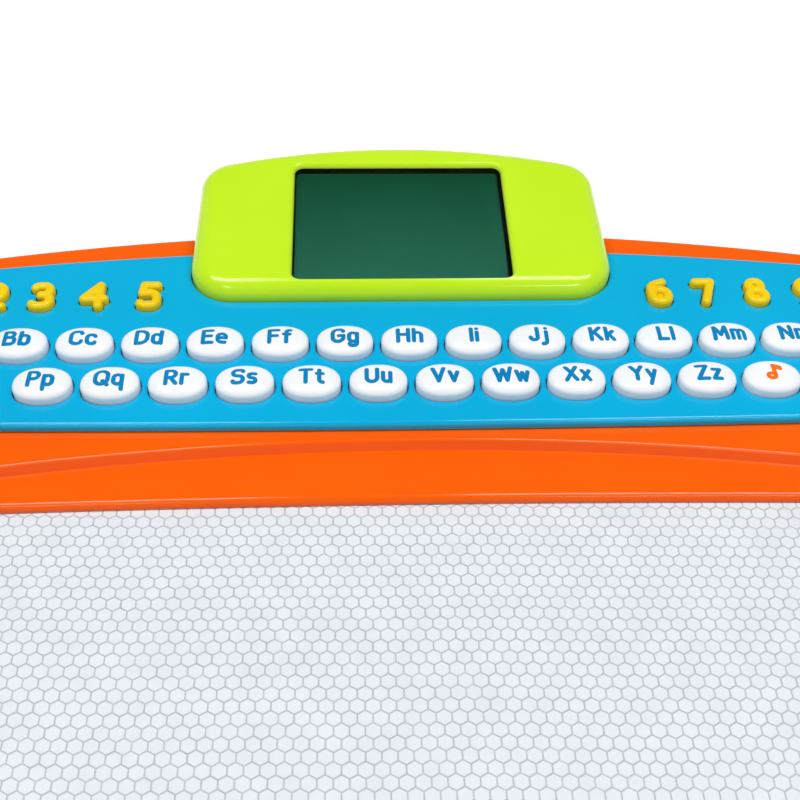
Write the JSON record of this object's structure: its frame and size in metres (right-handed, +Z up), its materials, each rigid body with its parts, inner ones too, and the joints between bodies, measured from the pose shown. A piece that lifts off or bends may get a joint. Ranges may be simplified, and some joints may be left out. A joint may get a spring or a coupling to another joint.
{
  "type": "electronic learning board",
  "caption": "Toy learning computer: oval letter keys, number-shaped keys and a small hooded screen above a magnetic drawing board with a slide eraser.",
  "frame": {"origin": "bottom centre of the box around the object, on the surface it stands on", "axes": "+X to the user's right, +Y to the back where the screen housing is, +Z up"},
  "size_m": [0.332, 0.3318, 0.0391],
  "materials": {
    "orange_plastic": "glossy moulded orange plastic with soft edges",
    "blue_plastic": "satin-gloss sky blue plastic",
    "green_plastic": "glossy lime green plastic",
    "white_key_plastic": "smooth white plastic",
    "yellow_key_plastic": "smooth yellow plastic",
    "clear_window": "clear plastic window",
    "lcd_glass": "dark green liquid crystal display",
    "circuit_board": "green circuit board",
    "grey_rubber": "grey silicone rubber",
    "speaker_black": "black speaker with paper cone",
    "drawing_film": "white translucent film over a honeycomb of cells",
    "magnet_bar": "black bonded magnet",
    "battery_wrap": "plain printed battery sleeve, no lettering",
    "steel": "zinc plated steel",
    "foot_rubber": "black rubber"
  },
  "bodies": {
    "case": {"base_shell": "orange_plastic", "battery_1": "battery_wrap", "battery_2": "battery_wrap", "battery_3": "battery_wrap", "battery_door": "orange_plastic", "battery_door_screw": "steel", "drawing_screen": "drawing_film", "foot_front": "foot_rubber", "foot_rear": "foot_rubber", "key_mat": "grey_rubber", "keyboard_panel": "blue_plastic", "lcd_glass": "lcd_glass", "main_board": "circuit_board", "screen_housing": "green_plastic", "screen_rear_cover": "green_plastic", "screen_window": "clear_window", "speaker": "speaker_black", "top_shell": "orange_plastic"},
    "power_switch": {"power_switch": "white_key_plastic"},
    "eraser": {"eraser_bar": "magnet_bar", "eraser_knob": "blue_plastic"},
    "stylus": {"stylus_body": "green_plastic", "stylus_tip": "magnet_bar"},
    "key_a": {"key_a": "white_key_plastic"},
    "key_b": {"key_b": "white_key_plastic"},
    "key_c": {"key_c": "white_key_plastic"},
    "key_d": {"key_d": "white_key_plastic"},
    "key_e": {"key_e": "white_key_plastic"},
    "key_f": {"key_f": "white_key_plastic"},
    "key_g": {"key_g": "white_key_plastic"},
    "key_h": {"key_h": "white_key_plastic"},
    "key_i": {"key_i": "white_key_plastic"},
    "key_j": {"key_j": "white_key_plastic"},
    "key_k": {"key_k": "white_key_plastic"},
    "key_l": {"key_l": "white_key_plastic"},
    "key_m": {"key_m": "white_key_plastic"},
    "key_n": {"key_n": "white_key_plastic"},
    "key_o": {"key_o": "white_key_plastic"},
    "key_p": {"key_p": "white_key_plastic"},
    "key_q": {"key_q": "white_key_plastic"},
    "key_r": {"key_r": "white_key_plastic"},
    "key_s": {"key_s": "white_key_plastic"},
    "key_t": {"key_t": "white_key_plastic"},
    "key_u": {"key_u": "white_key_plastic"},
    "key_v": {"key_v": "white_key_plastic"},
    "key_w": {"key_w": "white_key_plastic"},
    "key_x": {"key_x": "white_key_plastic"},
    "key_y": {"key_y": "white_key_plastic"},
    "key_z": {"key_z": "white_key_plastic"},
    "key_music": {"key_music": "white_key_plastic"},
    "digit_1": {"digit_1": "yellow_key_plastic"},
    "digit_2": {"digit_2": "yellow_key_plastic"},
    "digit_3": {"digit_3": "yellow_key_plastic"},
    "digit_4": {"digit_4": "yellow_key_plastic"},
    "digit_5": {"digit_5": "yellow_key_plastic"},
    "digit_6": {"digit_6": "yellow_key_plastic"},
    "digit_7": {"digit_7": "yellow_key_plastic"},
    "digit_8": {"digit_8": "yellow_key_plastic"},
    "digit_9": {"digit_9": "yellow_key_plastic"},
    "digit_0": {"digit_0": "yellow_key_plastic"}
  },
  "joints": [
    {"name": "power_switch_slide", "type": "slide", "parent": "case", "child": "power_switch", "axis": [1, 0, 0], "range_m": [0, 0.005]},
    {"name": "eraser_slide", "type": "slide", "parent": "case", "child": "eraser", "axis": [1, 0, 0], "range_m": [0, 0.24]},
    {"name": "stylus_lift", "type": "slide", "parent": "case", "child": "stylus", "axis": [0, 0, 1], "range_m": [0, 0.06]},
    {"name": "key_a_press", "type": "slide", "parent": "case", "child": "key_a", "axis": [0, 0, -1], "range_m": [0, 0.0015], "stiffness_N_per_m": 120, "springref_m": -0.002},
    {"name": "key_b_press", "type": "slide", "parent": "case", "child": "key_b", "axis": [0, 0, -1], "range_m": [0, 0.0015], "stiffness_N_per_m": 120, "springref_m": -0.002},
    {"name": "key_c_press", "type": "slide", "parent": "case", "child": "key_c", "axis": [0, 0, -1], "range_m": [0, 0.0015], "stiffness_N_per_m": 120, "springref_m": -0.002},
    {"name": "key_d_press", "type": "slide", "parent": "case", "child": "key_d", "axis": [0, 0, -1], "range_m": [0, 0.0015], "stiffness_N_per_m": 120, "springref_m": -0.002},
    {"name": "key_e_press", "type": "slide", "parent": "case", "child": "key_e", "axis": [0, 0, -1], "range_m": [0, 0.0015], "stiffness_N_per_m": 120, "springref_m": -0.002},
    {"name": "key_f_press", "type": "slide", "parent": "case", "child": "key_f", "axis": [0, 0, -1], "range_m": [0, 0.0015], "stiffness_N_per_m": 120, "springref_m": -0.002},
    {"name": "key_g_press", "type": "slide", "parent": "case", "child": "key_g", "axis": [0, 0, -1], "range_m": [0, 0.0015], "stiffness_N_per_m": 120, "springref_m": -0.002},
    {"name": "key_h_press", "type": "slide", "parent": "case", "child": "key_h", "axis": [0, 0, -1], "range_m": [0, 0.0015], "stiffness_N_per_m": 120, "springref_m": -0.002},
    {"name": "key_i_press", "type": "slide", "parent": "case", "child": "key_i", "axis": [0, 0, -1], "range_m": [0, 0.0015], "stiffness_N_per_m": 120, "springref_m": -0.002},
    {"name": "key_j_press", "type": "slide", "parent": "case", "child": "key_j", "axis": [0, 0, -1], "range_m": [0, 0.0015], "stiffness_N_per_m": 120, "springref_m": -0.002},
    {"name": "key_k_press", "type": "slide", "parent": "case", "child": "key_k", "axis": [0, 0, -1], "range_m": [0, 0.0015], "stiffness_N_per_m": 120, "springref_m": -0.002},
    {"name": "key_l_press", "type": "slide", "parent": "case", "child": "key_l", "axis": [0, 0, -1], "range_m": [0, 0.0015], "stiffness_N_per_m": 120, "springref_m": -0.002},
    {"name": "key_m_press", "type": "slide", "parent": "case", "child": "key_m", "axis": [0, 0, -1], "range_m": [0, 0.0015], "stiffness_N_per_m": 120, "springref_m": -0.002},
    {"name": "key_n_press", "type": "slide", "parent": "case", "child": "key_n", "axis": [0, 0, -1], "range_m": [0, 0.0015], "stiffness_N_per_m": 120, "springref_m": -0.002},
    {"name": "key_o_press", "type": "slide", "parent": "case", "child": "key_o", "axis": [0, 0, -1], "range_m": [0, 0.0015], "stiffness_N_per_m": 120, "springref_m": -0.002},
    {"name": "key_p_press", "type": "slide", "parent": "case", "child": "key_p", "axis": [0, 0, -1], "range_m": [0, 0.0015], "stiffness_N_per_m": 120, "springref_m": -0.002},
    {"name": "key_q_press", "type": "slide", "parent": "case", "child": "key_q", "axis": [0, 0, -1], "range_m": [0, 0.0015], "stiffness_N_per_m": 120, "springref_m": -0.002},
    {"name": "key_r_press", "type": "slide", "parent": "case", "child": "key_r", "axis": [0, 0, -1], "range_m": [0, 0.0015], "stiffness_N_per_m": 120, "springref_m": -0.002},
    {"name": "key_s_press", "type": "slide", "parent": "case", "child": "key_s", "axis": [0, 0, -1], "range_m": [0, 0.0015], "stiffness_N_per_m": 120, "springref_m": -0.002},
    {"name": "key_t_press", "type": "slide", "parent": "case", "child": "key_t", "axis": [0, 0, -1], "range_m": [0, 0.0015], "stiffness_N_per_m": 120, "springref_m": -0.002},
    {"name": "key_u_press", "type": "slide", "parent": "case", "child": "key_u", "axis": [0, 0, -1], "range_m": [0, 0.0015], "stiffness_N_per_m": 120, "springref_m": -0.002},
    {"name": "key_v_press", "type": "slide", "parent": "case", "child": "key_v", "axis": [0, 0, -1], "range_m": [0, 0.0015], "stiffness_N_per_m": 120, "springref_m": -0.002},
    {"name": "key_w_press", "type": "slide", "parent": "case", "child": "key_w", "axis": [0, 0, -1], "range_m": [0, 0.0015], "stiffness_N_per_m": 120, "springref_m": -0.002},
    {"name": "key_x_press", "type": "slide", "parent": "case", "child": "key_x", "axis": [0, 0, -1], "range_m": [0, 0.0015], "stiffness_N_per_m": 120, "springref_m": -0.002},
    {"name": "key_y_press", "type": "slide", "parent": "case", "child": "key_y", "axis": [0, 0, -1], "range_m": [0, 0.0015], "stiffness_N_per_m": 120, "springref_m": -0.002},
    {"name": "key_z_press", "type": "slide", "parent": "case", "child": "key_z", "axis": [0, 0, -1], "range_m": [0, 0.0015], "stiffness_N_per_m": 120, "springref_m": -0.002},
    {"name": "key_music_press", "type": "slide", "parent": "case", "child": "key_music", "axis": [0, 0, -1], "range_m": [0, 0.0015], "stiffness_N_per_m": 120, "springref_m": -0.002},
    {"name": "digit_1_press", "type": "slide", "parent": "case", "child": "digit_1", "axis": [0, 0, -1], "range_m": [0, 0.0015], "stiffness_N_per_m": 120, "springref_m": -0.002},
    {"name": "digit_2_press", "type": "slide", "parent": "case", "child": "digit_2", "axis": [0, 0, -1], "range_m": [0, 0.0015], "stiffness_N_per_m": 120, "springref_m": -0.002},
    {"name": "digit_3_press", "type": "slide", "parent": "case", "child": "digit_3", "axis": [0, 0, -1], "range_m": [0, 0.0015], "stiffness_N_per_m": 120, "springref_m": -0.002},
    {"name": "digit_4_press", "type": "slide", "parent": "case", "child": "digit_4", "axis": [0, 0, -1], "range_m": [0, 0.0015], "stiffness_N_per_m": 120, "springref_m": -0.002},
    {"name": "digit_5_press", "type": "slide", "parent": "case", "child": "digit_5", "axis": [0, 0, -1], "range_m": [0, 0.0015], "stiffness_N_per_m": 120, "springref_m": -0.002},
    {"name": "digit_6_press", "type": "slide", "parent": "case", "child": "digit_6", "axis": [0, 0, -1], "range_m": [0, 0.0015], "stiffness_N_per_m": 120, "springref_m": -0.002},
    {"name": "digit_7_press", "type": "slide", "parent": "case", "child": "digit_7", "axis": [0, 0, -1], "range_m": [0, 0.0015], "stiffness_N_per_m": 120, "springref_m": -0.002},
    {"name": "digit_8_press", "type": "slide", "parent": "case", "child": "digit_8", "axis": [0, 0, -1], "range_m": [0, 0.0015], "stiffness_N_per_m": 120, "springref_m": -0.002},
    {"name": "digit_9_press", "type": "slide", "parent": "case", "child": "digit_9", "axis": [0, 0, -1], "range_m": [0, 0.0015], "stiffness_N_per_m": 120, "springref_m": -0.002},
    {"name": "digit_0_press", "type": "slide", "parent": "case", "child": "digit_0", "axis": [0, 0, -1], "range_m": [0, 0.0015], "stiffness_N_per_m": 120, "springref_m": -0.002}
  ]
}
